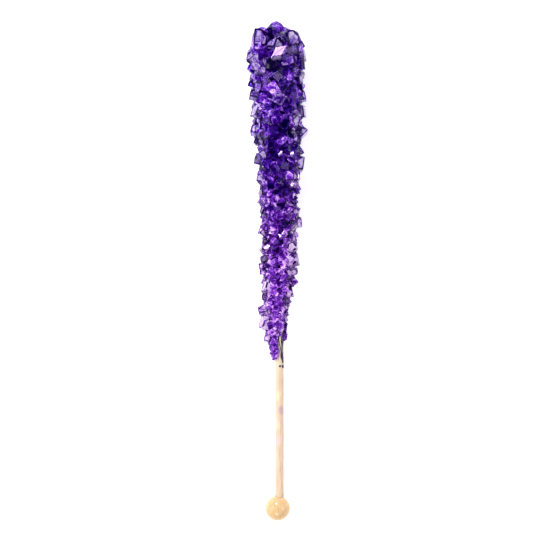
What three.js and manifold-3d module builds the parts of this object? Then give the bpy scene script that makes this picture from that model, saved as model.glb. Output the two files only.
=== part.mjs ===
// Rock candy stick: a wooden stick with a turned bead on one end and a long cluster of sugar
// crystals grown on the other, lying on its side with the stick along +X.
// Millimetres, +Z up. The origin is under the middle of the whole, on the surface it lies on.
import * as THREE from "three";
import { mergeVertices } from "three/addons/utils/BufferGeometryUtils.js";
import Module from "manifold-3d";

// ---- Driving dimensions ----
const TOTAL_LENGTH = 168; // from the bead's far end to the tip of the candy
const BEAD_DIAMETER = 8.4;
const BEAD_OFFSET = 0.6; // the bead is drilled this far off its middle
const BEAD_HOLE_DEPTH = 6.2;
const STICK_DIAMETER = 3;
const STICK_SHORT_OF_TIP = 16; // solid candy beyond the buried end of the stick
const END_CHAMFER = 0.4; // on both ends of the stick
const FIT_GAP = 0.25; // all round the stick, in the candy and in the bead
const CANDY_LENGTH = 107; // from the tip to where the stick comes out
const LYING_TILT = THREE.MathUtils.degToRad(1.85); // bead and fat end both touch the surface
const BEAD_FLAT_SPOT = 0.08;

// ---- How far the crystals reach from the middle, against the distance from the tip ----
const REACH = [
  [0, 2.6], [3, 5.9], [7, 7.8], [12, 8.8], [24, 8.4], [36, 7.9], [43, 6.8], [56, 6.6],
  [66, 5.9], [75, 5.4], [97, 5], [103, 4.3], [107, 3.1],
];
const LEAN_AT_TIP = 1.15; // the cluster's middle strays towards +Y, most at the tip
const LEAN_FADE = 18;
const LEAN_ALL_ALONG = 0.25;

// ---- Crystals ----
const GOLDEN_ANGLE = Math.PI * (3 - Math.sqrt(5));
const CRYSTAL_AT_TIP = 6.2; // longest side of a crystal
const CRYSTAL_AT_FOOT = 4;
const CROWDING = 1.06; // share of its own square that each crystal keeps for itself
const FIRST_CRYSTAL = 4.5;
const CAP_ROUNDING = 9; // within this of the tip the crystals lean forwards
const CAP_LEAN = 1.1; // radians, right at the tip
const CORE_COVER = 2.1; // the crystals stand this far out of the solid middle
const SLANT = 0.22; // sugar crystals are slanted boxes
const SEED = 41;

// The large crystals that give the tip its outline and stand off the sides:
// [distance from the tip, towards -Y, up, width, length, height, turn in degrees]
const LARGE_CRYSTALS = [
  [5.9, -6.2, 1.5, 5.6, 7.6, 7, 8], // left shoulder
  [3.1, -0.6, 0.8, 5, 6.2, 6, -6], // crown
  [5.7, 4.6, 1.4, 4.8, 7.4, 7, -12], // right shoulder
  [4.6, 1.4, -4.2, 6, 7, 6, 20], // under the crown
  [6, -3.6, -4.8, 6, 6, 5, -24],
  [12.4, -9, -0.6, 3, 4.6, 4, 6],
  [12.9, 6.6, -0.4, 3.6, 4.8, 4, -4],
  [15.2, -8.2, 1, 5, 5, 5, 38],
  [19.8, 5.4, 0.6, 5, 5.2, 5, -8],
  [24.8, 7.2, 0, 3.4, 4.4, 3.6, -12],
  [30.4, 7, -0.4, 3.6, 4.4, 3.6, -6],
  [36.6, -7.4, 0.6, 3.6, 4.2, 4, 14],
  [37.2, 6.7, 0, 4, 4, 3.6, 40],
  [47.8, 6.2, 0.3, 4, 4.6, 4, 8],
  [67.4, 5.6, 0, 2.6, 3.2, 3, 0],
  [82.3, -4.8, 0.6, 3.6, 3.8, 3.4, -6],
  [97.3, -5.2, 0.2, 3, 2.8, 3, 10],
  [101, -4.4, 0.8, 3.8, 4.8, 4, 12],
  [103.4, 4.2, 0, 3, 2.4, 2.6, -20],
  [105.6, -3, 0, 3.2, 5.6, 3.2, 10], // the foot that creeps down one side of the stick
  [109.8, -2.3, 0.2, 3, 5.6, 3, 4],
];

// ---- Solids ----
const wasm = await Module();
wasm.setup();

function toSolid(geometry) {
  const bare = geometry.clone();
  bare.deleteAttribute("normal");
  bare.deleteAttribute("uv");
  const merged = mergeVertices(bare, 1e-4);
  return new wasm.Manifold(new wasm.Mesh({
    numProp: 3,
    vertProperties: new Float32Array(merged.attributes.position.array),
    triVerts: new Uint32Array(merged.index.array),
  }));
}

function toGeometry(solid) {
  const mesh = solid.getMesh();
  const geometry = new THREE.BufferGeometry();
  geometry.setAttribute("position", new THREE.BufferAttribute(mesh.vertProperties, 3));
  geometry.setIndex(new THREE.BufferAttribute(mesh.triVerts, 1));
  geometry.computeVertexNormals();
  return geometry;
}

// A solid of revolution about +X, from points given as [distance along X, radius].
function turned(profile, sides) {
  const points = profile.map(([along, radius]) => new THREE.Vector2(radius, along));
  return new THREE.LatheGeometry(points, sides).rotateZ(-Math.PI / 2);
}

// ---- Where things lie, before the whole is tilted: the stick is on the X axis ----
const tipX = TOTAL_LENGTH;
const beadX = BEAD_DIAMETER / 2;
const stickStart = BEAD_DIAMETER - BEAD_HOLE_DEPTH;
const stickEnd = TOTAL_LENGTH - STICK_SHORT_OF_TIP;

function interpolate(table, at) {
  const next = table.findIndex(([position]) => position > at);
  if (next === 0) return table[0][1];
  if (next < 0) return table[table.length - 1][1];
  const [[x0, y0], [x1, y1]] = [table[next - 1], table[next]];
  return THREE.MathUtils.lerp(y0, y1, (at - x0) / (x1 - x0));
}

function leanAt(fromTip) {
  return LEAN_ALL_ALONG + LEAN_AT_TIP * Math.exp(-fromTip / LEAN_FADE);
}

// Repeatable random numbers from 0 to 1.
function randomSource(seed) {
  let state = seed;
  return () => {
    state = (Math.imul(state, 1664525) + 1013904223) >>> 0;
    return state / 4294967296;
  };
}

// ---- One crystal: a slanted box, placed by its centre and three turns ----
function crystal(size, centre, rotation) {
  const slanted = new THREE.Matrix4().makeShear(SLANT, 0, 0, 0, 0, 0);
  const placed = new THREE.Matrix4().compose(
    centre, new THREE.Quaternion().setFromEuler(rotation), new THREE.Vector3(1, 1, 1));
  const box = new THREE.BoxGeometry(size.x, size.y, size.z);
  return toSolid(box.applyMatrix4(slanted).applyMatrix4(placed));
}

function largeCrystals() {
  return LARGE_CRYSTALS.map(([fromTip, aside, up, width, length, height, turn], index) => {
    const centre = new THREE.Vector3(tipX - fromTip, -aside, up);
    const rock = 0.16 * Math.sin(index * 2.3);
    const rotation = new THREE.Euler(rock, -rock, -THREE.MathUtils.degToRad(turn));
    return crystal(new THREE.Vector3(length, width, height), centre, rotation);
  });
}

// The field of crystals winds round the middle by the golden angle, from the tip to the foot.
function fieldCrystals() {
  const random = randomSource(SEED);
  const crystals = [];
  let angle = 0;
  let fromTip = FIRST_CRYSTAL;
  while (fromTip < CANDY_LENGTH - 2) {
    const longest = THREE.MathUtils.lerp(CRYSTAL_AT_TIP, CRYSTAL_AT_FOOT, fromTip / CANDY_LENGTH);
    const reach = interpolate(REACH, fromTip);
    const size = new THREE.Vector3(
      longest * (0.75 + 0.25 * random()),
      longest * (0.55 + 0.4 * random()),
      longest * (0.6 + 0.35 * random()));
    const outward = reach - size.x * (0.4 + 0.14 * random());
    const centre = new THREE.Vector3(
      tipX - fromTip, leanAt(fromTip) - outward * Math.sin(angle), outward * Math.cos(angle));
    const forwards = CAP_LEAN * Math.max(0, 1 - fromTip / CAP_ROUNDING);
    const rotation = new THREE.Euler(
      angle + (random() - 0.5) * 0.9, -Math.PI / 2 + forwards + (random() - 0.5) * 1.1,
      random() * Math.PI, "XYZ");
    crystals.push(crystal(size, centre, rotation));
    angle += GOLDEN_ANGLE;
    fromTip += (CROWDING * longest * longest) / (2 * Math.PI * reach);
  }
  return crystals;
}

// The solid middle that all the crystals grow out of.
function candyMiddle() {
  const stations = REACH.filter(([fromTip]) => fromTip >= 7);
  const profile = stations.map(([fromTip, reach]) => [tipX - fromTip, reach - CORE_COVER]);
  const tip = [[tipX - 3.5, 0], [tipX - 4.5, 3.4]];
  const foot = [[tipX - CANDY_LENGTH, 0]];
  const middle = turned([...tip, ...profile, ...foot].reverse(), 20);
  return toSolid(middle.translate(0, LEAN_ALL_ALONG, 0));
}

// Pockets that the crystals shut in between them are sugar too: only the outer skin is kept.
function withoutPockets(solid) {
  const skins = solid.decompose();
  return skins.reduce((largest, skin) => (skin.volume() > largest.volume() ? skin : largest));
}

// What lies below the resting surface, as a block in the untilted frame.
function belowSurface(lift) {
  const depth = 40;
  const block = new THREE.BoxGeometry(3 * TOTAL_LENGTH, 100, depth);
  block.translate(0, 0, -depth / 2 - lift);
  return toSolid(block.rotateY(LYING_TILT));
}

function stickHole(from, to) {
  const radius = STICK_DIAMETER / 2 + FIT_GAP;
  return toSolid(turned([[from, 0], [from, radius], [to, radius], [to, 0]], 24));
}

// ---- The three pieces ----
const axisHeight = BEAD_DIAMETER / 2 - BEAD_FLAT_SPOT; // of the bead's middle over the surface
const lift = axisHeight - beadX * Math.sin(LYING_TILT);

function candyGeometry() {
  let candy = candyMiddle();
  for (const piece of [...largeCrystals(), ...fieldCrystals()]) candy = candy.add(piece);
  candy = candy.subtract(stickHole(BEAD_DIAMETER, stickEnd + FIT_GAP));
  return toGeometry(withoutPockets(candy.subtract(belowSurface(lift))));
}

function stickGeometry() {
  const radius = STICK_DIAMETER / 2;
  return turned([
    [stickStart, 0], [stickStart, radius - END_CHAMFER], [stickStart + END_CHAMFER, radius],
    [stickEnd - END_CHAMFER, radius], [stickEnd, radius - END_CHAMFER], [stickEnd, 0],
  ], 24);
}

function beadGeometry() {
  const ball = new THREE.SphereGeometry(BEAD_DIAMETER / 2, 24, 14);
  const bead = toSolid(ball.rotateX(Math.PI / 2).translate(beadX, BEAD_OFFSET, 0));
  const drilled = bead.subtract(stickHole(stickStart - FIT_GAP, 2 * BEAD_DIAMETER));
  return toGeometry(drilled.subtract(belowSurface(lift)));
}

function piece(name, geometry, color, roughness) {
  const mesh = new THREE.Mesh(
    geometry, new THREE.MeshStandardMaterial({ color, roughness, metalness: 0 }));
  mesh.name = name;
  return mesh;
}

const lying = new THREE.Group();
lying.add(piece("candy", candyGeometry(), 0x5a2ca0, 0.15));
lying.add(piece("stick", stickGeometry(), 0xf0ddc4, 0.7));
lying.add(piece("bead", beadGeometry(), 0xf2cf98, 0.35));
lying.rotation.y = -LYING_TILT;
lying.updateMatrixWorld(true);

// The origin goes under the middle of the whole.
const box = new THREE.Box3().setFromObject(lying, true);
const middle = box.getCenter(new THREE.Vector3());
lying.position.set(-middle.x, -middle.y, -box.min.z);

const group = new THREE.Group();
group.add(lying);
export default group;
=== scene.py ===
# %% [markdown]
# # Rock candy on a stick
# Rock candy is grown, not moulded: a wooden stick hangs for a week in strong sugar syrup, and
# crystals of sucrose build up on it. This lesson models one such stick, lying on its side, round a
# frame that was drawn in CAD. The frame gives the main places and sizes, and the cells below give
# each crystal its place and the whole its looks.

import math
import random

import bpy
from mathutils import Euler, Matrix, Vector, noise


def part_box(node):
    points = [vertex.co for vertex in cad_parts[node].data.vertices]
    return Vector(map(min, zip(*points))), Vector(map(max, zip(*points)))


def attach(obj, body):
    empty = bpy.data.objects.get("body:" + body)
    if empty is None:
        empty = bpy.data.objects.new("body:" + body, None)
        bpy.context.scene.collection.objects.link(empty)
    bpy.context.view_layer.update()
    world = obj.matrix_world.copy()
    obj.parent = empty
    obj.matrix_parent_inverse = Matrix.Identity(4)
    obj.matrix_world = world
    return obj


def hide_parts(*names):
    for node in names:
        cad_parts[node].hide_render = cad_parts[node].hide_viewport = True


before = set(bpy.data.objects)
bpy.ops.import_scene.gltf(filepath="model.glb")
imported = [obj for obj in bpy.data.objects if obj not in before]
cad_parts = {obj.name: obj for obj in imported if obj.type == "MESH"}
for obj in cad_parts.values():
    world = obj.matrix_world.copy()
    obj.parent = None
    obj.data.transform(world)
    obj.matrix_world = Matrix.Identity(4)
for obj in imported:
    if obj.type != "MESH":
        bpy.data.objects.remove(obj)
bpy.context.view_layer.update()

# %% [markdown]
# ## Where the stick lies
# The frame is in metres, with +X along the stick and +Z up. The thick end of the candy lifts the
# stick a little, so it lies at a small slope. It is far easier to model along a level axis in
# millimetres, and then to lay each finished piece down with one matrix.

# %% Read the places from the frame
MM = 0.001
LYING_TILT = math.radians(1.85)
bead_low, bead_high = (Vector(corner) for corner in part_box("bead"))
stick_low, stick_high = (Vector(corner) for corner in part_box("stick"))
candy_high = Vector(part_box("candy")[1])

stick_middle = (stick_low + stick_high) / 2
start_x = bead_low.x
start_z = stick_middle.z - (stick_middle.x - start_x) * math.tan(LYING_TILT)
lying_down = (
    Matrix.Translation((start_x, stick_middle.y, start_z))
    @ Matrix.Rotation(-LYING_TILT, 4, "Y")
    @ Matrix.Scale(MM, 4)
)
WHOLE = (candy_high.x - start_x) / math.cos(LYING_TILT) / MM
BEAD_RADIUS = (bead_high.y - bead_low.y) / 2 / MM
BEAD_ASIDE = ((bead_high.y + bead_low.y) / 2 - stick_middle.y) / MM
STICK_RADIUS = (stick_high.y - stick_low.y) / 2 / MM
STICK_START = (stick_low.x - start_x) / MM
STICK_END = (stick_high.x - start_x) / MM
print(f"whole {WHOLE:.1f} mm, bead {2 * BEAD_RADIUS:.1f} mm, stick {2 * STICK_RADIUS:.1f} mm")

# %% [markdown]
# ## Small helpers
# Blender's operators work on whatever is selected, and the frame's own pieces are selected after
# loading. So a step first selects nothing, or just its piece. Colours are written as sRGB hex
# values, and one function turns them to the linear values that Blender mixes.

# %% Helpers for selecting, colours and nodes
def select_only(*pieces):
    if bpy.context.object and bpy.context.object.mode != "OBJECT":
        bpy.ops.object.mode_set(mode="OBJECT")
    bpy.ops.object.select_all(action="DESELECT")
    for piece in pieces:
        piece.select_set(True)
        bpy.context.view_layer.objects.active = piece


def select_no_faces():
    """Leaves the active piece with no face selected, so that some can then be picked."""
    bpy.ops.object.mode_set(mode="EDIT")
    bpy.ops.mesh.select_mode(type="FACE")
    bpy.ops.mesh.select_all(action="DESELECT")
    bpy.ops.object.mode_set(mode="OBJECT")


def lay_down(piece, matrix):
    """Moves a finished piece to where it lies, for good."""
    piece.matrix_world = matrix
    select_only(piece)
    bpy.ops.object.transform_apply(location=True, rotation=True, scale=True)


def cut_across(places):
    """Cuts the active rod, in edit mode, right across at each of these places along it."""
    for along in places:
        bpy.ops.mesh.select_all(action="SELECT")
        bpy.ops.mesh.bisect(plane_co=(along, 0, 0), plane_no=(1, 0, 0), threshold=1e-4)


def hex_colour(code):
    channels = [int(code[i:i + 2], 16) / 255 for i in (1, 3, 5)]
    linear = [c / 12.92 if c <= 0.04045 else ((c + 0.055) / 1.055) ** 2.4 for c in channels]
    return (*linear, 1.0)


def add_node(material, kind, settings=None, stops=(), **inputs):
    """Adds a node. settings are its own properties, and stops are a ramp's (place, colour) pairs.
    inputs are its sockets, by value or by link; Base_Color is a name, and _1 is a number."""
    tree = material.node_tree
    node = tree.nodes.new(kind)
    for key, value in (settings or {}).items():
        setattr(node, key, value)
    for index, (position, code) in enumerate(stops):
        elements = node.color_ramp.elements
        element = elements[index] if index < 2 else elements.new(position)
        element.position = position
        element.color = hex_colour(code)
    for key, value in inputs.items():
        name = key.replace("_", " ")
        socket = node.inputs[int(key[1:])] if key[1:].isdigit() else node.inputs[name]
        if isinstance(value, bpy.types.NodeSocket):
            tree.links.new(value, socket)
        else:
            socket.default_value = value
    return node


def new_material(name):
    material = bpy.data.materials.new(name)
    material.use_nodes = True
    material.node_tree.nodes.clear()
    return material


# %% [markdown]
# ## The camera, floor and light
# The stick is looked at straight from above, with its tip towards the top of the picture. A long
# lens keeps the sides of the crystals from spreading. Clear sugar has little to show but what is
# round it, so the light is planned for the sugar. The floor is white paper on a light table: it
# glows up through the crystals at the sides, which then look clear, with dark edges. Wide soft
# panels stand at the left, the right and the near end, and a small bright one beyond the tip
# gives the hard flashes. The sky is dim overhead, because a bright one would lay a grey veil over
# every flat top.

# %% Camera
# the view's width in metres, and the lens and sensor in mm
VIEW_WIDTH = 0.1801
LENS = 110
SENSOR = 36
# the place looked at, in mm from the bead's far end and to the left of the stick
CAMERA_ALONG = 86.3
CAMERA_ASIDE = 4.4

camera_data = bpy.data.cameras.new("overhead_camera")
camera_data.lens = LENS
camera_data.sensor_width = SENSOR
camera_data.clip_start = 0.01
camera = bpy.data.objects.new("overhead_camera", camera_data)
bpy.context.collection.objects.link(camera)
camera_distance = VIEW_WIDTH * LENS / SENSOR
look_at = lying_down @ Vector((CAMERA_ALONG, CAMERA_ASIDE, 0))
camera.location = look_at + Vector((0, 0, camera_distance))
camera.rotation_euler = (0, 0, -math.pi / 2)
bpy.context.scene.camera = camera
print(f"camera {camera_distance:.3f} m above the stick")

# %% Floor
# metres across, and how strongly the table shines through the paper
FLOOR_WIDTH = 6
TABLE_GLOW = 0.6
select_only()
bpy.ops.mesh.primitive_plane_add(size=FLOOR_WIDTH, location=(0, 0, 0))
floor = bpy.context.object
floor.name = "paper_floor"
paper = new_material("white_paper_matt")
paper_shader = add_node(
    paper, "ShaderNodeBsdfPrincipled", Base_Color=hex_colour("#F4F3F2"), Roughness=0.9,
    Emission_Color=hex_colour("#FFFFFF"), Emission_Strength=TABLE_GLOW)
add_node(paper, "ShaderNodeOutputMaterial", Surface=paper_shader.outputs["BSDF"])
floor.data.materials.append(paper)


# %% Lights
def soft_panel(name, location, size, watts):
    light = bpy.data.lights.new(name, "AREA")
    light.shape = "RECTANGLE"
    light.size, light.size_y = size
    light.energy = watts
    lamp = bpy.data.objects.new(name, light)
    bpy.context.collection.objects.link(lamp)
    lamp.location = location
    towards = look_at - Vector(location)
    lamp.rotation_euler = towards.to_track_quat("-Z", "Y").to_euler()


# each panel's place and size in metres, and its watts
KEY_PLACE = (0.5, 0.16, 0.5)
soft_panel("left_panel", (0.05, 0.85, 0.68), (0.9, 0.5), 8.4)
soft_panel("right_panel", (0.0, -0.85, 0.62), (0.9, 0.5), 5.0)
soft_panel("key_panel", KEY_PLACE, (0.12, 0.12), 3.8)
soft_panel("near_panel", (-0.8, 0.1, 0.62), (0.5, 0.4), 3.6)

world = bpy.data.worlds.new("studio_sky")
bpy.context.scene.world = world
world.use_nodes = True
world.node_tree.nodes.clear()
direction = add_node(world, "ShaderNodeTexCoord")
height = add_node(world, "ShaderNodeSeparateXYZ", Vector=direction.outputs["Generated"])
sky = add_node(
    world, "ShaderNodeValToRGB", Fac=height.outputs["Z"],
    stops=[(0.0, "#D0D0D6"), (0.35, "#8A8A92"), (0.65, "#18181C"), (1.0, "#101014")])
seen = add_node(world, "ShaderNodeLightPath")
sky_or_backdrop = add_node(
    world, "ShaderNodeMix", {"data_type": "RGBA"}, Factor=seen.outputs["Is Camera Ray"],
    _6=sky.outputs["Color"], _7=hex_colour("#EFEFF0"))
background = add_node(
    world, "ShaderNodeBackground", Color=sky_or_backdrop.outputs[2], Strength=1.0)
add_node(world, "ShaderNodeOutputWorld", Surface=background.outputs["Background"])
bpy.context.scene.view_settings.view_transform = "Standard"

# %% [markdown]
# ## Crystal shapes
# Sucrose grows as slanted blocks: flat faces, a lean to one side, some corners cut off by a
# further face, and here and there a step where a new layer has started. Nine shapes are
# modelled from a cube, at a size of one: the top face slides sideways for the lean, bisect cuts
# the corners off, and an inset and an extrude make the step. The clusters below copy them, each
# copy turned and stretched its own way, so that no two look alike. Every edge is bevelled and
# every broad face gets a narrow border. These thin faces are marked as the crystal's rim,
# because a clear block looks darkest, and a dark one brightest, just there. The rims get painted
# shade on light crystals and a painted highlight on dark ones.

# %% Crystal shapes, listed
# all for a block of size one
EDGE_BEVEL = 0.055
RIM_WIDTH = 0.075
BROAD_FACE_AREA = 0.12
# the least upward part of a top face's normal
FACING_UP = 0.9
# the sideways part of the lean, and how far a step slides, as a share of its width
LEAN_ASIDE = 0.3
STEP_SLIDE = (0.5, 0.4)
# a face's area over its perimeter squared: 0.063 for a square, and less for a thin strip
RIM_THINNESS = 0.042


def select_facing(mesh, direction, least):
    for polygon in mesh.polygons:
        polygon.select = polygon.normal.dot(direction) > least


def facet(round_degrees, lift_degrees, distance):
    """A cut that touches a ball of this radius, at an angle round it and an angle up."""
    turn, lift = math.radians(round_degrees), math.radians(lift_degrees)
    outward = Vector((
        math.cos(turn) * math.cos(lift), math.sin(turn) * math.cos(lift), math.sin(lift)))
    return outward * distance, outward


def crystal_shape(name, lean, cuts, step=None):
    """A unit block leaning by lean, with cuts as (point, outward direction) and maybe a step."""
    select_only()
    bpy.ops.mesh.primitive_cube_add(size=1)
    shape = bpy.context.object
    shape.name = name
    select_no_faces()
    select_facing(shape.data, Vector((0, 0, 1)), FACING_UP)
    bpy.ops.object.mode_set(mode="EDIT")
    bpy.ops.transform.translate(value=(lean, lean * LEAN_ASIDE, 0))
    for point, outward in cuts:
        bpy.ops.mesh.select_all(action="SELECT")
        bpy.ops.mesh.bisect(
            plane_co=point, plane_no=outward, use_fill=True, clear_outer=True, threshold=1e-5)
    if step:
        thickness, height = step
        bpy.ops.mesh.select_all(action="DESELECT")
        bpy.ops.object.mode_set(mode="OBJECT")
        select_facing(shape.data, Vector((0, 0, 1)), FACING_UP)
        bpy.ops.object.mode_set(mode="EDIT")
        bpy.ops.mesh.inset(thickness=thickness, depth=0)
        slide = [thickness * share for share in STEP_SLIDE]
        bpy.ops.transform.translate(value=(*slide, 0))
        bpy.ops.mesh.extrude_region_move(TRANSFORM_OT_translate={"value": (0, 0, height)})
    bpy.ops.mesh.select_all(action="SELECT")
    bpy.ops.mesh.bevel(offset=EDGE_BEVEL, segments=1, affect="EDGES", clamp_overlap=True)
    bpy.ops.mesh.select_all(action="DESELECT")
    bpy.ops.object.mode_set(mode="OBJECT")
    for polygon in shape.data.polygons:
        polygon.select = polygon.area > BROAD_FACE_AREA
    bpy.ops.object.mode_set(mode="EDIT")
    bpy.ops.mesh.inset(thickness=RIM_WIDTH, depth=0, use_individual=True)
    bpy.ops.mesh.select_all(action="SELECT")
    bpy.ops.mesh.normals_make_consistent(inside=False)
    bpy.ops.object.mode_set(mode="OBJECT")
    points = [vertex.co.copy() for vertex in shape.data.vertices]
    faces = []
    for polygon in shape.data.polygons:
        corners = [points[index] for index in polygon.vertices]
        round_it = sum((a - b).length for a, b in zip(corners, corners[1:] + corners[:1]))
        faces.append((tuple(polygon.vertices), polygon.area < RIM_THINNESS * round_it ** 2))
    print(f"{name}: {len(faces)} faces")
    bpy.data.objects.remove(shape, do_unlink=True)
    return points, faces


CRYSTAL_SHAPES = {
    "block": crystal_shape("block", 0.18, [((0.42, 0.3, 0.42), (1, 0.7, 1))]),
    "roof": crystal_shape("roof", 0.1, [
        ((0, 0.22, 0.5), (0, 1, 0.9)), ((0, -0.3, 0.5), (0, -1, 0.7))]),
    "stepped": crystal_shape("stepped", -0.14, [((-0.45, 0.2, 0.4), (-1, 0.5, 0.8))], (0.14, 0.09)),
    "tablet": crystal_shape("tablet", 0.22, [
        ((0.4, -0.4, 0.1), (1, -1, 0.2)), ((-0.45, 0.45, 0), (-1, 1, 0))]),
    "wedge": crystal_shape("wedge", 0.26, [
        ((0.3, 0, 0.35), (1, 0.1, 1)), ((-0.4, 0.35, 0.4), (-0.6, 1, 0.8))]),
    "lump": crystal_shape("lump", 0.08, [
        ((0.36, 0.3, 0.4), (1, 0.6, 1)), ((-0.36, 0.3, 0.4), (-1, 0.7, 0.9)),
        ((0.36, -0.34, 0.3), (0.9, -1, 0.6)), ((-0.38, -0.34, 0.34), (-1, -1, 0.7)),
        ((0, 0.42, -0.1), (0.1, 1, 0.2))]),
    "flake": crystal_shape("flake", 0.0, [
        facet(38, 0, 0.46), facet(218, 0, 0.48), facet(-50, 0, 0.62)]),
    "kite": crystal_shape("kite", 0.0, [
        facet(35, 0, 0.3), facet(145, 0, 0.3), facet(215, 0, 0.3), facet(325, 0, 0.3)]),
    "gem": crystal_shape("gem", 0.03, [
        facet(32, 0, 0.5), facet(-36, 4, 0.5), facet(64, -5, 0.5), facet(-62, 0, 0.48),
        facet(5, 50, 0.48), facet(88, 46, 0.5), facet(-92, 48, 0.5), facet(48, 36, 0.54),
        facet(-45, 38, 0.52), facet(0, -45, 0.5), facet(90, -45, 0.52), facet(-90, -42, 0.52),
        facet(140, 10, 0.58), facet(-140, 6, 0.58)]),
}

# %% [markdown]
# ## The outline of the candy
# The cluster is thickest near the tip, narrows past its middle and ends in a ragged foot that
# creeps down one side of the stick. Three short tables say so, each by the distance from the tip
# in millimetres: how far the crystals reach, how far their middle lies to the right of the stick,
# and how much more dye they hold than the rest. The dye is deepest above the middle.

# %% Outline tables
# from the tip, reach
REACH = [
    (0, 3.0), (3, 5.8), (7, 8.2), (12, 9.4), (24, 9.0), (36, 8.4), (43, 7.5), (56, 7.1),
    (66, 6.5), (75, 6.0), (88, 5.3), (94, 4.7), (101, 4.2), (107, 3.0)]
# from the tip, aside
ASIDE = [
    (0, -1.4), (6, -1.1), (12, -0.9), (24, -0.6), (40, -0.35), (60, -0.25), (85, -0.25), (92, -0.7),
    (98, -1.3), (103, -1.6), (107, -1.8)]
# from the tip, added depth of colour
DYE = [(0, 0.16), (24, 0.18), (42, 0.28), (54, 0.22), (64, 0.02), (74, -0.02), (108, -0.1)]
CANDY_LENGTH = 106.5
GOLDEN_ANGLE = math.pi * (3 - math.sqrt(5))


def interpolate(table, at):
    for (x0, y0), (x1, y1) in zip(table, table[1:]):
        if at <= x1:
            return y0 + (y1 - y0) * max(0, at - x0) / (x1 - x0)
    return table[-1][1]


# %% [markdown]
# ## Growing a cluster
# One function joins many copies of the crystal shapes into one mesh. A crystal that would reach
# below the table is lifted until it just touches it. Each crystal keeps a depth of colour of its
# own, stored on its faces, because no two real ones take up the dye alike. Each face varies from it
# at random, a painted reflection of the light that every facet throws back its own way. Rim faces
# are stored darker on a light crystal, as painted shade, and lighter on a dark one, as a painted
# highlight, so that an edge always shows.

# %% Joining crystals into one piece
TABLE_CLEARANCE = 0.03 * MM
# painted shade added to the rims of light crystals, and a painted highlight to the rims of dark ones
RIM_PAINTED_SHADE = 0.7
RIM_PAINTED_HIGHLIGHT = -0.3
LIGHT_CRYSTAL = 0.5
# how far each face's tone varies at random from its crystal's: a painted reflection, as every facet
# throws back light its own way
FACE_PAINTED_REFLECTION = 0.2
pieces = {}


def join_crystals(name, crystals):
    """crystals are (shape, matrix, (depth of colour, share of the way to the foot), look)."""
    rng = random.Random(len(crystals))
    points, faces, tints = [], [], []
    for shape, placed, (depth, share), look in crystals:
        shape_points, shape_faces = CRYSTAL_SHAPES[shape]
        laid = lying_down @ placed
        own = [laid @ point for point in shape_points]
        lowest = min(point.z for point in own)
        lift = max(0, TABLE_CLEARANCE - lowest)
        first = len(points)
        points.extend((point.x, point.y, point.z + lift) for point in own)
        for face, is_rim in shape_faces:
            # each face's own random tone is a painted reflection
            own_depth = depth + rng.uniform(-FACE_PAINTED_REFLECTION, FACE_PAINTED_REFLECTION)
            # a rim face gets painted shade on a light crystal and a painted highlight on a dark one
            if is_rim:
                own_depth = depth + (RIM_PAINTED_SHADE if depth < LIGHT_CRYSTAL else RIM_PAINTED_HIGHLIGHT)
            faces.append(tuple(first + corner for corner in face))
            tints.extend([(own_depth, rng.random(), share)] * len(face))
    mesh = bpy.data.meshes.new(name)
    mesh.from_pydata(points, [], faces)
    attribute = mesh.color_attributes.new("tint", "FLOAT_COLOR", "CORNER")
    for corner, tint in zip(attribute.data, tints):
        corner.color = (*tint, 1.0)
    mesh.validate()
    piece = bpy.data.objects.new(name, mesh)
    bpy.context.collection.objects.link(piece)
    pieces[name] = piece
    print(f"{name}: {len(crystals)} crystals, {len(faces)} faces")


def place(from_tip, aside, up, size, turns):
    """A crystal's matrix: aside is to the right of the stick as the camera sees it."""
    return (
        Matrix.Translation((WHOLE - from_tip, -aside, up))
        @ Euler(turns, "XYZ").to_matrix().to_4x4()
        @ Matrix.Diagonal((*size, 1)))


# %% [markdown]
# ## The field of crystals
# A sunflower packs its seeds by turning each one by the golden angle from the last. The same
# turn, taken while stepping from the tip to the foot, spreads crystals evenly round the stick with
# no rows to be seen. Two such layers are grown: a crowded bed, and a looser one that stands off.
# Each standing crystal is given a look by where it is. At the sides the light comes through, so
# crystals are clear, pale or frosted there. On top a clear crystal shows the deep bed under it,
# and a few are deep or frosted themselves. Low underneath all are deep. Towards the foot those
# on top are left out, so the fine bed shows. Noise makes patches of lighter and deeper dye.

# %% Layers wound by the golden angle
# shares of the crystals on top, and of clear, pale and frosted ones at the sides
DEEP_ON_TOP = 0.3
FROSTED_ON_TOP = 0.1
SIDE_MIX = (0.4, 0.3, 0.3)
# the sine and the cosine of the angle from straight up
SIDE_FROM = 0.72
UNDER_FROM = -0.1
# millimetres from the tip
FINE_FROM = 72
# depths of colour: of a patch this wide in mm, of the painted shade on top against the paler sides, of
# the light looks
PATCH_SIZE = 8.0
PATCH_DEPTH = 0.4
PAINTED_SHADE_ON_TOP = 0.5
LIGHT_LOOKS_PALER = 0.25
# near the tip the crystals lean forwards, most at the tip itself, in radians
TIP_LEAN = 1.15
TIP_LEAN_TO = 9
LAYER_FROM = 3.5
LAYER_TO = CANDY_LENGTH - 1.5
# length, width and height, as shares of the longest crystal there
LENGTHS = (0.5, 0.85)
WIDTHS = (0.55, 0.95)
HEIGHTS = (0.75, 1.1)
BURIED_VARIES = 0.1


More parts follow.
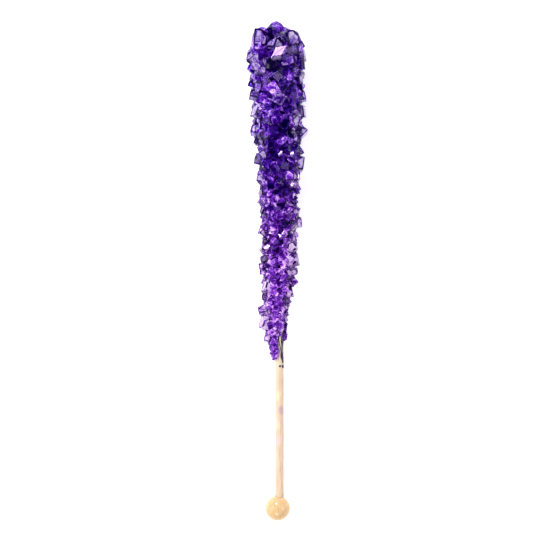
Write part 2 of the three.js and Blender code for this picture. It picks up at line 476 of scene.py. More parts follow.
def grow_layer(seed, sizes, crowding, buried, tilt, shapes, colour):
    """sizes are the longest crystal at the tip and at the foot; buried is the part under the reach."""
    rng = random.Random(seed)
    crystals = []
    angle = rng.random() * math.tau
    from_tip = LAYER_FROM
    while from_tip < LAYER_TO:
        share = from_tip / CANDY_LENGTH
        longest = sizes[0] + (sizes[1] - sizes[0]) * share
        reach = interpolate(REACH, from_tip)
        size = (
            longest * rng.uniform(*LENGTHS),
            longest * rng.uniform(*WIDTHS),
            longest * rng.uniform(*HEIGHTS))
        outward = reach - size[2] * (buried + rng.uniform(-BURIED_VARIES, BURIED_VARIES))
        forwards = TIP_LEAN * max(0, 1 - from_tip / TIP_LEAN_TO)
        turned = (
            Matrix.Rotation(angle, 4, "X")
            @ Matrix.Rotation(forwards + rng.gauss(0, tilt), 4, "Y")
            @ Matrix.Rotation(rng.gauss(0, tilt), 4, "X")
            @ Matrix.Rotation(rng.uniform(0, math.tau), 4, "Z"))
        centre = Matrix.Translation((
            WHOLE - from_tip,
            -interpolate(ASIDE, from_tip) - outward * math.sin(angle),
            outward * math.cos(angle)))
        placed = centre @ turned @ Matrix.Diagonal((*size, 1))
        sideways = abs(math.sin(angle))
        patch = noise.noise(centre.translation / PATCH_SIZE)
        depth = rng.uniform(*colour) + interpolate(DYE, from_tip)
        # crystals on top get a deeper tone and those at the sides a paler one: painted shade on top,
        # and painted light at the sides where the table's glow comes through
        depth += PATCH_DEPTH * patch + PAINTED_SHADE_ON_TOP * (0.5 - sideways)
        look = "clear"
        if math.cos(angle) < UNDER_FROM:
            look = "deep"
        elif sideways > SIDE_FROM:
            look = rng.choices(("clear", "pale", "frosted"), SIDE_MIX)[0]
        elif from_tip > FINE_FROM:
            look = "left out"
        elif rng.random() < DEEP_ON_TOP:
            look = "deep"
        elif rng.random() < FROSTED_ON_TOP:
            look = "frosted"
        if look in ("pale", "frosted"):
            depth -= LIGHT_LOOKS_PALER
        crystals.append((rng.choice(shapes), placed, (depth, share), look))
        angle += GOLDEN_ANGLE
        from_tip += crowding * longest * longest / (math.tau * reach)
    return crystals


bed = grow_layer(
    11, (4.6, 2.1), 0.6, 0.8, 0.5, ["block", "wedge", "stepped", "roof"], colour=(0.45, 0.95))
standing = grow_layer(
    29, (5.2, 2.5), 1.1, 0.5, 0.6, ["block", "roof", "stepped", "tablet", "wedge"],
    colour=(0.1, 0.7))
join_crystals("crystal_bed", bed)

# %% [markdown]
# ## The large crystals
# A few large crystals give the candy its character: the lumps that crown the tip, and the
# blocks that stand off its sides like teeth. They are listed, one line each.

# %% Crystals of the crown, listed
# shape, from the tip, aside, up, (length, width, height), (roll, pitch, turn) in degrees, depth
CROWN_CRYSTALS = [
    ("gem", 6.3, -5.9, 2.6, (8.0, 6.4, 6.6), (-26, 4, -10), 0.6),
    ("gem", 3.8, -0.9, 2.0, (7.0, 6.0, 6.2), (-8, 14, 8), 0.75),
    ("gem", 6.9, 4.4, 2.6, (7.8, 5.2, 6.2), (-27, 6, 14), 0.6),
    ("gem", 4.5, 2.0, 0.6, (5.0, 4.6, 5.0), (10, 10, 24), 0.4),
    ("gem", 5.4, 1.4, -3.6, (7.0, 6.4, 6.4), (180, 0, -20), 0.7),
    ("gem", 6.6, -4.4, -3.6, (7.0, 6.4, 6.0), (170, 0, 20), 0.7),
]


def crown_crystals():
    crystals = []
    for shape, from_tip, aside, up, size, degrees, depth in CROWN_CRYSTALS:
        placed = place(from_tip, aside, up, size, [math.radians(angle) for angle in degrees])
        crystals.append((shape, placed, (depth, from_tip / CANDY_LENGTH), "deep"))
    return crystals


join_crystals("crown_crystals", crown_crystals())

# %% [markdown]
# ## Faces that flash
# Here and there one flat face of a crystal mirrors a lamp, and flashes white. A face does so when
# it looks half way between the lamp and the eye. These few crystals are turned to do just that.

# %% Flashing crystals
# the flashing crystals get a pale, milky tone: a painted highlight under the real reflection of the
# key lamp
FLASH_PAINTED_HIGHLIGHT_DEPTH = 0.1
# shape, from the tip, aside, up, (length, width, height), turn in degrees
FLASHING_CRYSTALS = [
    ("kite", 11.4, 0.0, 8.4, (4.8, 6.0, 4.2), 38),
    ("flake", 12.9, -1.9, 8.2, (0.8, 2.0, 3.6), 38),
    ("flake", 44.5, 0.3, 7.7, (1.9, 0.9, 1.4), -32),
    ("flake", 44.6, 4.2, 6.4, (1.3, 1.5, 1.4), 14),
    ("flake", 52.3, 6.3, 3.9, (1.6, 1.1, 1.4), 40),
    ("flake", 54.9, 4.3, 5.7, (1.0, 1.7, 1.4), 12),
    ("flake", 71.0, 1.2, 6.2, (2.0, 0.6, 1.2), -34),
    ("flake", 72.0, 0.1, 6.2, (1.5, 0.6, 1.2), 44),
    ("flake", 75.8, -4.1, 4.4, (1.2, 2.2, 1.4), 20),
]


def flashing_crystals():
    crystals = []
    for shape, from_tip, aside, up, size, turn in FLASHING_CRYSTALS:
        centre = place(from_tip, aside, up, (1, 1, 1), (0, 0, 0))
        here = (lying_down @ centre).translation
        to_lamp = (Vector(KEY_PLACE) - here).normalized()
        to_eye = (camera.location - here).normalized()
        half_way = (to_lamp + to_eye).normalized()
        level = lying_down.to_3x3().normalized().inverted() @ half_way
        aim = Vector((0, 0, 1)).rotation_difference(level).to_matrix().to_4x4()
        spin = Matrix.Rotation(math.radians(turn), 4, "Z")
        placed = centre @ aim @ spin @ Matrix.Diagonal((*size, 1))
        crystals.append((shape, placed, (FLASH_PAINTED_HIGHLIGHT_DEPTH, from_tip / CANDY_LENGTH), "frosted"))
    return crystals


flashing = flashing_crystals()

# %% [markdown]
# ## Blocks that stand off
# The large blocks stand at the sides, where the table's glow comes through them. Lumps, blocks
# high up and every other block are frosted, which keeps them light where little light gets
# through. The rest are pale if they hold little dye, and clear if they hold more.

# %% Large crystals, listed
PALE_DEPTH = 0.3
HIGH_UP = 3.0
UNEVEN = 0.25
# shape, from the tip, aside, up, (length, width, height), turn in degrees, depth of colour
LARGE_CRYSTALS = [
    ("tablet", 6.9, -6.1, 5.3, (5.8, 4.6, 1.8), 4, 0.28),
    ("tablet", 6.8, 4.9, 5.1, (5.4, 4.0, 1.8), -8, 0.28),
    ("block", 11.8, -9.7, 0.2, (4.0, 2.6, 3.4), 8, 0.05),
    ("block", 11.5, 7.4, 0.2, (3.9, 2.5, 3.6), -8, 0.15),
    ("stepped", 13.8, -6.4, 4.8, (5.2, 5.2, 4.4), 14, 0.65),
    ("wedge", 16.4, -8.4, 0.8, (4.2, 4.2, 4.0), 38, 0.75),
    ("block", 19.7, 6.3, 1.0, (4.6, 3.2, 4.0), -6, 0.6),
    ("block", 21.0, -8.8, 0.4, (3.0, 2.8, 3.0), 20, 0.32),
    ("block", 24.6, -8.3, 1.0, (3.4, 3.4, 3.2), 12, 0.2),
    ("tablet", 25.0, 7.3, 0.6, (4.3, 3.2, 3.4), -12, 0.02),
    ("block", 26.5, -0.5, 8.2, (3.8, 3.8, 2.8), 30, 0.7),
    ("lump", 30.2, -6.7, 2.6, (5.6, 5.0, 4.6), 16, 0.22),
    ("block", 30.6, 6.8, 0.6, (4.2, 3.8, 3.4), -8, 0.18),
    ("block", 36.3, -7.8, 0.6, (4.3, 3.4, 3.4), 14, 0.08),
    ("block", 37.3, 7.0, 0.4, (3.7, 3.2, 3.2), 42, 0.04),
    ("block", 40.2, -6.7, 1.4, (3.4, 3.6, 3.2), 24, 0.22),
    ("tablet", 43.6, 6.7, 0.0, (3.2, 2.8, 2.8), -30, 0.1),
    ("block", 46.4, -7.0, 0.6, (4.0, 2.4, 3.0), 8, 0.05),
    ("block", 48.0, 6.4, 0.8, (4.6, 3.6, 3.4), 8, 0.15),
    ("tablet", 52.6, 4.9, 3.4, (3.8, 2.8, 2.6), 0, 0.1),
    ("block", 52.4, -6.1, 1.4, (4.0, 2.8, 3.0), 14, 0.2),
    ("block", 60.3, -6.2, 0.4, (2.2, 2.0, 2.4), 30, 0.6),
    ("lump", 63.7, 5.4, 1.6, (3.0, 2.7, 2.8), 14, 0.15),
    ("lump", 67.3, 6.6, 0.2, (3.3, 2.0, 2.6), -6, 0.04),
    ("block", 71.0, -4.9, 1.6, (3.2, 3.2, 2.8), 42, 0.06),
    ("block", 75.4, -4.2, 2.0, (4.0, 3.8, 3.2), 10, 0.12),
    ("lump", 75.6, 3.9, 3.0, (3.8, 4.0, 3.2), 6, 0.18),
    ("block", 79.8, -4.9, 1.0, (2.4, 2.6, 2.6), -16, 0.22),
    ("lump", 80.1, 3.9, 2.2, (4.6, 4.6, 3.8), -10, 0.3),
    ("tablet", 82.3, -5.2, 1.0, (1.9, 3.5, 2.8), -6, 0.15),
    ("lump", 83.8, 4.4, 1.2, (2.6, 3.4, 2.8), 8, 0.15),
    ("tablet", 84.5, -5.2, 0.6, (1.7, 3.0, 2.8), 4, 0.2),
    ("block", 87.2, 4.2, 1.0, (2.6, 3.4, 2.8), 58, 0.8),
    ("lump", 89.0, -3.8, 1.8, (4.7, 3.7, 3.6), 10, 0.2),
    ("lump", 91.0, 3.1, 2.0, (3.6, 3.0, 2.8), -12, 0.25),
    ("block", 92.7, -4.7, 0.4, (2.4, 2.0, 2.4), -14, 0.2),
    ("block", 97.1, -5.5, 0.4, (2.7, 3.2, 2.8), -12, 0.0),
    ("lump", 101.3, -4.5, 1.0, (4.7, 4.2, 3.8), 10, 0.12),
    ("block", 106.7, -4.0, 0.2, (2.8, 2.3, 2.4), 12, 0.15),
]


def large_crystals():
    rng = random.Random(7)
    crystals = []
    for index, (shape, from_tip, aside, up, size, turn, depth) in enumerate(LARGE_CRYSTALS):
        turns = (rng.uniform(-UNEVEN, UNEVEN), rng.uniform(-UNEVEN, UNEVEN), -math.radians(turn))
        placed = place(from_tip, aside, up, size, turns)
        look = "pale" if depth <= PALE_DEPTH else "clear"
        if up > HIGH_UP or shape == "lump" or index % 2 == 0:
            look = "frosted"
        crystals.append((shape, placed, (depth, from_tip / CANDY_LENGTH), look))
    return crystals


large = large_crystals()
for look in ("deep", "clear", "pale", "frosted"):
    join_crystals(
        f"{look}_crystals",
        [crystal for crystal in standing + flashing + large if crystal[3] == look])

# %% [markdown]
# ## The foot
# Where the syrup's surface met the stick, small crystals crept along one side of it. They are about
# two millimetres long at the top of the foot and a little over one at its end. A short tail of
# still smaller ones runs along the other side.

# %% Foot crystals
# millimetres from the tip
FOOT_FROM = 101.5
FOOT_TO = 113.3
FOOT_CRYSTALS = 84
EDGE_TO = 106.9
EDGE_CRYSTALS = 18
# millimetres: the sizes, the foot's spread at its top, and how far aside the edge's crystals lie
FOOT_SIZES = (1.2, 2.3)
EDGE_SIZES = (0.7, 1.4)
FOOT_SPREAD = 3.6
EDGE_ASIDE = 1.9
# radians: half the angle that the foot takes up round the stick, and how far its crystals turn
FOOT_HALF_ANGLE = 1.7
ANY_TURN = 1.5


def foot_crystals():
    rng = random.Random(3)
    crystals = []
    for index in range(FOOT_CRYSTALS):
        share = (index + 0.5) / FOOT_CRYSTALS
        from_tip = FOOT_FROM + (FOOT_TO - FOOT_FROM) * share
        spread = FOOT_SPREAD - 2.3 * share
        size = [rng.uniform(*FOOT_SIZES) * (1.1 - 0.35 * share) for side in range(3)]
        angle = -math.pi / 2 + rng.uniform(-1.0, 1.0) * (FOOT_HALF_ANGLE - 0.7 * share)
        outward = STICK_RADIUS + rng.uniform(0.2, 0.75) * spread - 0.2
        placed = place(
            from_tip, outward * math.sin(angle), outward * math.cos(angle), size,
            [rng.uniform(-ANY_TURN, ANY_TURN) for side in range(3)])
        crystals.append(("block", placed, (rng.uniform(0.4, 1.0), 1.0), "deep"))
    for index in range(EDGE_CRYSTALS):
        share = (index + 0.5) / EDGE_CRYSTALS
        from_tip = FOOT_FROM + (EDGE_TO - FOOT_FROM) * share
        size = [rng.uniform(*EDGE_SIZES) for side in range(3)]
        placed = place(
            from_tip, EDGE_ASIDE + rng.uniform(-0.3, 0.3), rng.uniform(-0.6, 1.0), size,
            [rng.uniform(-ANY_TURN, ANY_TURN) for side in range(3)])
        crystals.append(("block", placed, (rng.uniform(0.9, 1.2), 1.0), "deep"))
    return crystals


join_crystals("foot_crystals", foot_crystals())

# %% [markdown]
# ## The heart of the candy
# Under the crystals that can be told apart lies older sugar, grown together into one dark mass
# round the stick. It starts as a cylinder, is cut into rings, and each ring is scaled to stay under
# the crystals. Each point is then moved a little at random, so that no two facets face alike.

# %% The heart
# millimetres: the sugar over the heart, the first ring from the tip, the rings' spacing, and the
# least sugar round the stick
HEART_COVER = 3.3
HEART_FROM = 6.5
RING_SPACING = 3.0
LEAST_SUGAR = 0.3
HEART_SIDES = 20
HEART_RINGS = 33
# the end ring against the others, how the radius varies, and how far points move along
END_RING = 0.55
RADIUS_VARIES = (0.86, 1.1)
MOVED_ALONG = 0.9
# the heart follows the candy's middle part of the way
HEART_ASIDE = 0.6


def sugar_heart():
    select_only()
    stations = [HEART_FROM + RING_SPACING * step for step in range(HEART_RINGS)]
    length = stations[-1] - stations[0]
    bpy.ops.mesh.primitive_cylinder_add(
        vertices=HEART_SIDES, radius=1, depth=length, rotation=(0, math.pi / 2, 0),
        location=(WHOLE - (stations[0] + stations[-1]) / 2, 0, 0))
    heart = bpy.context.object
    heart.name = "sugar_heart"
    bpy.ops.object.transform_apply(location=True, rotation=True, scale=True)
    bpy.ops.object.mode_set(mode="EDIT")
    cut_across(WHOLE - station for station in stations[1:-1])
    bpy.ops.object.mode_set(mode="OBJECT")
    rng = random.Random(5)
    for vertex in heart.data.vertices:
        from_tip = WHOLE - vertex.co.x
        radius = max(STICK_RADIUS + LEAST_SUGAR, interpolate(REACH, from_tip) - HEART_COVER)
        middle = -interpolate(ASIDE, from_tip) * HEART_ASIDE
        radius *= rng.uniform(*RADIUS_VARIES)
        if from_tip < stations[0] + RING_SPACING / 6:
            radius *= END_RING
        vertex.co.y = middle + vertex.co.y * radius
        vertex.co.z *= radius
        vertex.co.x += rng.uniform(-MOVED_ALONG, MOVED_ALONG)
    lay_down(heart, lying_down)
    pieces["sugar_heart"] = heart
    print(f"sugar_heart: {len(heart.data.polygons)} faces")


sugar_heart()

# %% [markdown]
# ## The sugar
# Sucrose is clear and glassy, and dyed violet here. A deep crystal is indigo, a thin one lilac.
# Part of that comes from the depth of colour stored on each crystal's faces, and part from how far
# light travels inside, which an absorbing volume gives. The stored depth is partly the crystal's own
# dye and partly painted light and shade, as set out where the crystals are grown. The candy is
# indigo towards its tip and more of a magenta violet towards its foot. Inside, real crystals are
# full of flaws, where one has grown into the next. Cells of a Voronoi pattern, a millimetre or two
# wide, vary the depth: partly these flaws, and partly a painted reflection of the light that they
# throw back. The lines between them show as fine cracks, drawn lighter in deep and clear sugar as
# a painted highlight, and darker in pale and frosted sugar as painted shade. The index of
# refraction of sugar is 1.54. A little less is used, because small facets under large panels would
# otherwise gather a grey veil.

# %% Sugar crystal materials
# flaw cells whose tones also carry a painted reflection, and cracks whose tone is a painted highlight
# in deep and clear sugar and painted shade in pale and frosted sugar
FLAW_AND_REFLECTION_SIZE = 1.5
FLAW_AND_REFLECTION_DEPTH = 0.3
LINE_SPACING = 1.6
LINE_WIDTH = 0.09
VIOLET_DYE = "#A864EC"
DYE_DENSITY = 160.0
# sugar that passes more light than this also gets the dye as a volume
SEEN_THROUGH = 0.3
SUGAR_IOR = 1.45
# the shares of the way to the foot between which the tones turn from the tip's to the foot's
TONES_TURN_FROM = 0.4
TONES_TURN_TO = 0.7


# the third argument is the depth added along the cracks: more depth there is painted shade, and less
# is a painted highlight
def sugar_material(name, clear, crack_painted_light, tones_at_tip, tones_at_foot):
    """Dyed sugar. clear is how much light passes; tones run from thin sugar to deep."""
    sugar = new_material(name)
    tint = add_node(sugar, "ShaderNodeAttribute", {"attribute_name": "tint"})
    parts = add_node(sugar, "ShaderNodeSeparateColor", Color=tint.outputs["Color"])
    position = add_node(sugar, "ShaderNodeTexCoord")
    flaw_and_reflection_cells = add_node(
        sugar, "ShaderNodeTexVoronoi", {"distance": "CHEBYCHEV"},
        Vector=position.outputs["Object"], Scale=1 / (FLAW_AND_REFLECTION_SIZE * MM))
    flaw_and_reflection_tone = add_node(sugar, "ShaderNodeSeparateColor", Color=flaw_and_reflection_cells.outputs["Color"])
    flaw_and_reflection_depth = add_node(
        sugar, "ShaderNodeMapRange", Value=flaw_and_reflection_tone.outputs["Red"], _3=-FLAW_AND_REFLECTION_DEPTH,
        _4=FLAW_AND_REFLECTION_DEPTH)
    depth = add_node(
        sugar, "ShaderNodeMath", {"operation": "ADD", "use_clamp": True},
        _0=parts.outputs["Red"], _1=flaw_and_reflection_depth.outputs["Result"])
    lines = add_node(
        sugar, "ShaderNodeTexVoronoi", {"feature": "DISTANCE_TO_EDGE"},
        Vector=position.outputs["Object"], Scale=1 / (LINE_SPACING * MM))
    line = add_node(
        sugar, "ShaderNodeMapRange", Value=lines.outputs["Distance"], _1=0.0, _2=LINE_WIDTH,
        _3=crack_painted_light, _4=0.0)
    lined_depth = add_node(
        sugar, "ShaderNodeMath", {"operation": "ADD", "use_clamp": True},
        _0=depth.outputs["Value"], _1=line.outputs["Result"])
    at_tip = add_node(
        sugar, "ShaderNodeValToRGB", stops=tones_at_tip, Fac=lined_depth.outputs["Value"])
    at_foot = add_node(
        sugar, "ShaderNodeValToRGB", stops=tones_at_foot, Fac=lined_depth.outputs["Value"])
    towards_foot = add_node(
        sugar, "ShaderNodeMapRange", Value=parts.outputs["Blue"], _1=TONES_TURN_FROM,
        _2=TONES_TURN_TO)
    colour = add_node(
        sugar, "ShaderNodeMix", {"data_type": "RGBA"}, Factor=towards_foot.outputs["Result"],
        _6=at_tip.outputs["Color"], _7=at_foot.outputs["Color"])
    shader = add_node(
        sugar, "ShaderNodeBsdfPrincipled", Base_Color=colour.outputs[2], Roughness=0.04,
        IOR=SUGAR_IOR, Transmission_Weight=clear, Specular_IOR_Level=0.3,
        Specular_Tint=hex_colour("#BE98F4"))
    output = add_node(sugar, "ShaderNodeOutputMaterial", Surface=shader.outputs["BSDF"])
    if clear > SEEN_THROUGH:
        dye = add_node(
            sugar, "ShaderNodeVolumeAbsorption", Color=hex_colour(VIOLET_DYE),
            Density=DYE_DENSITY)
        sugar.node_tree.links.new(dye.outputs["Volume"], output.inputs["Volume"])
    return sugar


# Crowded crystals, grown into each other: hardly any light passes, and lit faces are full violet.
deep_sugar = sugar_material(
    "grown_sugar_crystal_deep", 0.05, -0.35,
    [(0.0, "#D8B4FC"), (0.2, "#9A54E4"), (0.45, "#5A1AB0"), (0.7, "#32067C"), (1.0, "#1A0252")],
    [(0.0, "#F4D0FF"), (0.2, "#C880F0"), (0.45, "#8A3CCC"), (0.7, "#541898"), (1.0, "#260656")])
# Single crystals with smooth natural faces: clear as glass, they show the dark bed through them.
clear_sugar = sugar_material(
    "grown_sugar_crystal_clear", 1.0, -0.3,
    [(0.0, "#FAF0FF"), (0.3, "#DEBEFF"), (0.55, "#B27CF8"), (0.75, "#7430D4"), (1.0, "#2A0478")],
    [(0.0, "#FFF4FF"), (0.3, "#F4CCFF"), (0.55, "#DC9CFA"), (0.75, "#A850E0"), (1.0, "#481290")])
# Blocks that took up little dye: nearly clear, pinkish white inside, with cracks and edges darkened as
# painted shade.
pale_sugar = sugar_material(
    "grown_sugar_crystal_pale", 0.85, 0.4,
    [(0.0, "#FAF2FF"), (0.3, "#DEC2FF"), (0.55, "#AC7CEA"), (0.8, "#4A1A98"), (1.0, "#14023C")],
    [(0.0, "#FFF4FF"), (0.3, "#F2CEFF"), (0.55, "#D098F0"), (0.8, "#6A2CA4"), (1.0, "#240650")])
# Crystals clouded by fine flaws: about half the light is scattered, so they are milky lilac.
frosted_sugar = sugar_material(
    "grown_sugar_crystal_frosted", 0.45, 0.4,
    [(0.0, "#EEE0FF"), (0.3, "#C2A6EE"), (0.55, "#7C46C4"), (0.8, "#3A1090"), (1.0, "#14023C")],
    [(0.0, "#FAE4FF"), (0.3, "#E2BAF8"), (0.55, "#AE70DC"), (0.8, "#6426A4"), (1.0, "#240650")])

for name in ("sugar_heart", "crystal_bed", "deep_crystals", "crown_crystals", "foot_crystals"):
    pieces[name].data.materials.append(deep_sugar)
pieces["clear_crystals"].data.materials.append(clear_sugar)
pieces["pale_crystals"].data.materials.append(pale_sugar)
pieces["frosted_crystals"].data.materials.append(frosted_sugar)

# %% [markdown]
# ## The stick
# The stick is a plain birch dowel. It starts as a cylinder, its ends are bevelled, and it is cut
# into short lengths whose rings are moved by a few hundredths of a millimetre, because a dowel
# that has soaked in syrup for a week is no longer quite straight or round.

# %% Stick
STICK_SIDES = 40
STICK_LENGTHS = 48
END_BEVEL = 0.35
# how much the dowel swells along it and round it, as a share of its radius
SWELL_ALONG = 0.012
SWELL_ROUND = 0.010


def wooden_stick():
    select_only()
    length = STICK_END - STICK_START
    bpy.ops.mesh.primitive_cylinder_add(
        vertices=STICK_SIDES, radius=STICK_RADIUS, depth=length, rotation=(0, math.pi / 2, 0),
        location=((STICK_START + STICK_END) / 2, 0, 0))
    stick = bpy.context.object
    stick.name = "wooden_stick"
    bpy.ops.object.transform_apply(location=True, rotation=True, scale=True)
    select_no_faces()
    for polygon in stick.data.polygons:
        polygon.select = abs(polygon.normal.x) > 0.9
    bpy.ops.object.mode_set(mode="EDIT")
    bpy.ops.mesh.bevel(offset=END_BEVEL, segments=3, affect="EDGES")
    cut_across(STICK_START + length * step / STICK_LENGTHS for step in range(1, STICK_LENGTHS))
    bpy.ops.object.mode_set(mode="OBJECT")
    for vertex in stick.data.vertices:
        along = vertex.co.x
        angle = math.atan2(vertex.co.z, vertex.co.y)
        swell = 1 + SWELL_ALONG * math.sin(along * 0.31)
        swell += SWELL_ROUND * math.sin(2 * angle + along * 0.11)
        vertex.co.y *= swell
        vertex.co.z *= swell
    lay_down(stick, lying_down)
    bpy.ops.object.shade_smooth_by_angle(angle=math.radians(35))
    return stick


stick = wooden_stick()

# %% [markdown]
# ## Dried syrup
# Below the foot a little coloured syrup ran down the dowel and dried: one wavy dark run along the
# edge, a thin one beside it, and two drops where the runs stopped. Each run is a thin rod, cut
# into short lengths, and then wrapped on the dowel: its width goes round the dowel, and its
# height goes outwards, so it lies on the wood like a film.

# %% Syrup runs and drops
# from the tip, aside, half width
EDGE_RUN = [
    (104.6, 1.3, 0.6), (106.4, 1.1, 0.75), (107.6, 0.98, 0.6), (109.2, 0.9, 0.34),
    (110.8, 0.82, 0.3), (111.8, 0.85, 0.6), (113.0, 0.95, 0.66), (114.2, 1.1, 0.45),
    (115.1, 1.2, 0.2)]
THIN_RUN = [
    (104.8, -0.4, 0.16), (106.8, -0.3, 0.2), (108.0, -0.1, 0.14), (109.2, 0.22, 0.18),
    (110.2, 0.3, 0.16), (111.4, 0.0, 0.12)]
DROPS = [(115.9, 0.15, 0.4), (116.0, 1.2, 0.62)]
FILM_HEIGHT = 0.35
RUN_LENGTHS = 24
RUN_SIDES = 10


def wrap_on_dowel(side, centre_aside, half_width, from_tip, up):
    """Where a point of a rod or ball of radius one goes. side and up run from -1 to 1."""
    round_dowel = math.asin(centre_aside / STICK_RADIUS) + side * half_width / STICK_RADIUS
    radius = STICK_RADIUS + up * half_width * FILM_HEIGHT
    return (WHOLE - from_tip, -radius * math.sin(round_dowel), radius * math.cos(round_dowel))


def syrup_run(path):
    select_only()
    length = path[-1][0] - path[0][0]
    bpy.ops.mesh.primitive_cylinder_add(
        vertices=RUN_SIDES, radius=1, depth=length, rotation=(0, math.pi / 2, 0),
        location=(path[0][0] + length / 2, 0, 0))
    run = bpy.context.object
    bpy.ops.object.transform_apply(location=True, rotation=True, scale=True)
    bpy.ops.object.mode_set(mode="EDIT")
    cut_across(path[0][0] + length * step / RUN_LENGTHS for step in range(1, RUN_LENGTHS))
    bpy.ops.object.mode_set(mode="OBJECT")
    asides = [(from_tip, aside) for from_tip, aside, half_width in path]
    widths = [(from_tip, half_width) for from_tip, aside, half_width in path]
    for vertex in run.data.vertices:
        from_tip, side, up = vertex.co
        vertex.co = wrap_on_dowel(
            side, interpolate(asides, from_tip), interpolate(widths, from_tip), from_tip, up)
    return run


def syrup_drop(from_tip, aside, half_width):
    select_only()
    bpy.ops.mesh.primitive_uv_sphere_add(segments=14, ring_count=8, radius=1)
    drop = bpy.context.object
    for vertex in drop.data.vertices:
        along, side, up = vertex.co
        vertex.co = wrap_on_dowel(side, aside, half_width, from_tip + along * half_width, up)
    return drop


runs = [syrup_run(EDGE_RUN), syrup_run(THIN_RUN)]
drops = [syrup_drop(*drop) for drop in DROPS]
select_only(*drops, *runs)
bpy.ops.object.join()
syrup = bpy.context.object
syrup.name = "dried_syrup"
lay_down(syrup, lying_down)
bpy.ops.object.mode_set(mode="EDIT")
bpy.ops.mesh.select_all(action="SELECT")
bpy.ops.mesh.normals_make_consistent(inside=False)
bpy.ops.object.mode_set(mode="OBJECT")
bpy.ops.object.shade_smooth_by_angle(angle=math.radians(60))
pieces["dried_syrup"] = syrup
print(f"dried_syrup: {len(syrup.data.polygons)} faces")

# %% [markdown]
# ## The look of dried syrup
# Dried syrup is a hard, glossy film. Where it is thick it is almost black, and where it is thin the
# wood shows through as violet. Soft noise of about a millimetre stands for the uneven thickness.

# %% Syrup material
SYRUP_PATCH = 1.2
syrup_film = new_material("dried_syrup_film")
syrup_place = add_node(syrup_film, "ShaderNodeTexCoord")
syrup_patches = add_node(
    syrup_film, "ShaderNodeTexNoise", Vector=syrup_place.outputs["Object"],
    Scale=1 / (SYRUP_PATCH * MM), Detail=2.0)
syrup_colour = add_node(
    syrup_film, "ShaderNodeValToRGB", Fac=syrup_patches.outputs["Fac"],
    stops=[(0.35, "#1A0836"), (0.5, "#2C1248"), (0.65, "#5A3A7C")])
syrup_shader = add_node(
    syrup_film, "ShaderNodeBsdfPrincipled", Base_Color=syrup_colour.outputs["Color"],
    Roughness=0.2, Specular_IOR_Level=0.4)
add_node(syrup_film, "ShaderNodeOutputMaterial", Surface=syrup_shader.outputs["BSDF"])
syrup.data.materials.append(syrup_film)

# %% [markdown]
# ## The bead
# The bead is a small turned ball of maple on the end of the stick. A sphere is added and turned so
# that its pole faces the stick, and the faces round the pole are extruded inwards to make the
# hole. The bottom is cut flat at the table, by less than a tenth of a millimetre, so that it
# rests there.

# %% Bead
BEAD_HOLE_DEPTH = 5.6
HOLE_CLEARANCE = 0.12
BEAD_SIDES = 56
BEAD_RINGS = 40


def turned_bead():
    select_only()
    slew = math.asin(-BEAD_ASIDE / BEAD_RADIUS)
    bpy.ops.mesh.primitive_uv_sphere_add(
        segments=BEAD_SIDES, ring_count=BEAD_RINGS, radius=BEAD_RADIUS,
        rotation=(0, math.pi / 2, 0), location=(0, 0, 0))
    bead = bpy.context.object
    bead.name = "turned_bead"
    bpy.ops.object.transform_apply(location=True, rotation=True, scale=True)
    select_no_faces()
    hole = STICK_RADIUS + HOLE_CLEARANCE
    for polygon in bead.data.polygons:
        centre = polygon.center
        polygon.select = centre.x > 0 and math.hypot(centre.y, centre.z) < hole
    bpy.ops.object.mode_set(mode="EDIT")
    bpy.ops.mesh.extrude_region_move(
        TRANSFORM_OT_translate={"value": (-BEAD_HOLE_DEPTH, 0, 0)})
    bpy.ops.transform.resize(value=(0, 1, 1))
    bpy.ops.object.mode_set(mode="OBJECT")
    on_the_stick = Matrix.Translation((BEAD_RADIUS, BEAD_ASIDE, 0)) @ Matrix.Rotation(slew, 4, "Z")
    lay_down(bead, lying_down @ on_the_stick)
    bpy.ops.object.mode_set(mode="EDIT")
    bpy.ops.mesh.select_all(action="SELECT")
    bpy.ops.mesh.bisect(
        plane_co=(0, 0, 0), plane_no=(0, 0, -1), use_fill=True, clear_outer=True, threshold=1e-6)
    bpy.ops.object.mode_set(mode="OBJECT")
    bpy.ops.object.shade_smooth_by_angle(angle=math.radians(40))
    return bead


bead = turned_bead()

# %% [markdown]
# ## The wood
# Birch is pale and close-grained, and a bare dowel is matt. Its grain is noise drawn out along the
# stick. Real birch pores are finer than these lines, which are drawn as coarse as they need to be
# to show. Under and near the candy the wood is damp with syrup and greenish. Further down are faint
# stains of violet, pink and yellow, each a soft spot that only the darker grain takes up.

# %% Birch material
GRAIN_WIDTH = 0.35
GRAIN_STRETCH = 0.06
DAMP_FROM = 106.0
DAMP_TO = 121.0
DAMP_TONE = "#D3CFAE"
BUMP_HEIGHT = 0.05
# from the tip, aside, reach, colour
STAINS = [
    (130.4, 0.3, 1.1, "#A878A8"), (131.6, 0.7, 1.2, "#9C6C9C"), (130.6, 1.25, 1.9, "#B08CB4"),
    (135.6, 1.1, 2.4, "#E4A8B4"), (126.0, -1.0, 2.2, "#E8E2B4"), (136.0, -0.7, 2.0, "#DCDDB0"),
    (141.0, -1.1, 2.4, "#F0C4D2")]

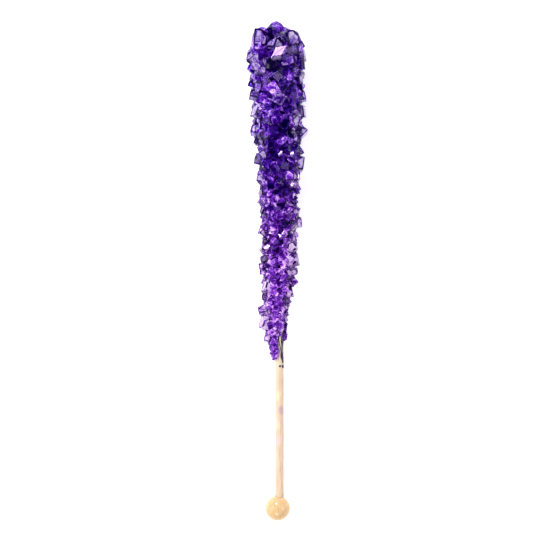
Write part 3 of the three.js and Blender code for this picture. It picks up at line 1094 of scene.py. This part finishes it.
birch = new_material("birch_dowel_bare")
birch_place = add_node(birch, "ShaderNodeTexCoord")
birch_grain_place = add_node(
    birch, "ShaderNodeMapping", Vector=birch_place.outputs["Object"],
    Scale=(GRAIN_STRETCH, 1, 1))
birch_grain = add_node(
    birch, "ShaderNodeTexNoise", Vector=birch_grain_place.outputs["Vector"],
    Scale=1 / (GRAIN_WIDTH * MM), Detail=3.0)
birch_colour = add_node(
    birch, "ShaderNodeValToRGB", Fac=birch_grain.outputs["Fac"],
    stops=[(0.3, "#CCAE92"), (0.5, "#DCC0A6"), (0.7, "#E4CDB6")])
birch_parts = add_node(birch, "ShaderNodeSeparateXYZ", Vector=birch_place.outputs["Object"])
damp_from = (lying_down @ Vector((WHOLE - DAMP_TO, 0, 0))).x
damp_to = (lying_down @ Vector((WHOLE - DAMP_FROM, 0, 0))).x
damp = add_node(
    birch, "ShaderNodeMapRange", Value=birch_parts.outputs["X"], _1=damp_from, _2=damp_to)
damp_birch = add_node(
    birch, "ShaderNodeMix", {"data_type": "RGBA"}, Factor=damp.outputs["Result"],
    _6=birch_colour.outputs["Color"], _7=hex_colour(DAMP_TONE))
birch_with_stains = damp_birch.outputs[2]
streak = add_node(
    birch, "ShaderNodeMapRange", Value=birch_grain.outputs["Fac"], _1=0.45, _2=0.6)
for from_tip, aside, reach, code in STAINS:
    spot = lying_down @ Vector((WHOLE - from_tip, -aside, STICK_RADIUS * 0.9))
    away = add_node(
        birch, "ShaderNodeVectorMath", {"operation": "DISTANCE"},
        Vector=birch_place.outputs["Object"], _1=spot)
    near = add_node(
        birch, "ShaderNodeMapRange", Value=away.outputs["Value"], _1=reach * 0.3 * MM,
        _2=reach * MM, _3=1.0, _4=0.0)
    strength = add_node(
        birch, "ShaderNodeMath", {"operation": "MULTIPLY"}, _0=near.outputs["Result"],
        _1=streak.outputs["Result"])
    stained = add_node(
        birch, "ShaderNodeMix", {"data_type": "RGBA"}, Factor=strength.outputs["Value"],
        _6=birch_with_stains, _7=hex_colour(code))
    birch_with_stains = stained.outputs[2]
birch_bump = add_node(
    birch, "ShaderNodeBump", Height=birch_grain.outputs["Fac"], Strength=0.25,
    Distance=BUMP_HEIGHT * MM)
birch_shader = add_node(
    birch, "ShaderNodeBsdfPrincipled", Base_Color=birch_with_stains, Roughness=0.62,
    Normal=birch_bump.outputs["Normal"])
add_node(birch, "ShaderNodeOutputMaterial", Surface=birch_shader.outputs["BSDF"])
stick.data.materials.append(birch)

# %% [markdown]
# ## The bead's wood
# Maple is warmer than birch. The bead was turned and waxed, so it has a thin clear coat with a
# sharp small highlight over softer wood, and short streaks of grain along the stick's direction.

# %% Maple material
MAPLE_GRAIN_WIDTH = 0.6
MAPLE_GRAIN_STRETCH = 0.15
maple = new_material("maple_bead_turned_waxed")
maple_place = add_node(maple, "ShaderNodeTexCoord")
maple_grain_place = add_node(
    maple, "ShaderNodeMapping", Vector=maple_place.outputs["Object"],
    Scale=(MAPLE_GRAIN_STRETCH, 1, 1))
maple_grain = add_node(
    maple, "ShaderNodeTexNoise", Vector=maple_grain_place.outputs["Vector"],
    Scale=1 / (MAPLE_GRAIN_WIDTH * MM), Detail=3.0)
maple_colour = add_node(
    maple, "ShaderNodeValToRGB", Fac=maple_grain.outputs["Fac"],
    stops=[(0.3, "#D2A66E"), (0.5, "#DCB480"), (0.7, "#E3C090")])
maple_shader = add_node(
    maple, "ShaderNodeBsdfPrincipled", Base_Color=maple_colour.outputs["Color"],
    Roughness=0.5, Specular_IOR_Level=0.3, Coat_Weight=0.6, Coat_Roughness=0.1)
add_node(maple, "ShaderNodeOutputMaterial", Surface=maple_shader.outputs["BSDF"])
bead.data.materials.append(maple)

# %% [markdown]
# ## Handing the pieces to the frame
# Each piece rides on the frame's one body and replaces the CAD solid that it stands for, which is
# hidden. The dried syrup belongs to the candy.

# %% Attach each piece to the frame's body and hide its CAD solid
CANDY_PIECES = (
    "sugar_heart", "crystal_bed", "deep_crystals", "crown_crystals", "clear_crystals",
    "pale_crystals", "frosted_crystals", "foot_crystals", "dried_syrup")
for name in CANDY_PIECES:
    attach(pieces[name], "root")
    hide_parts("candy")
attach(stick, "root")
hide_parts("stick")
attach(bead, "root")
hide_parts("bead")
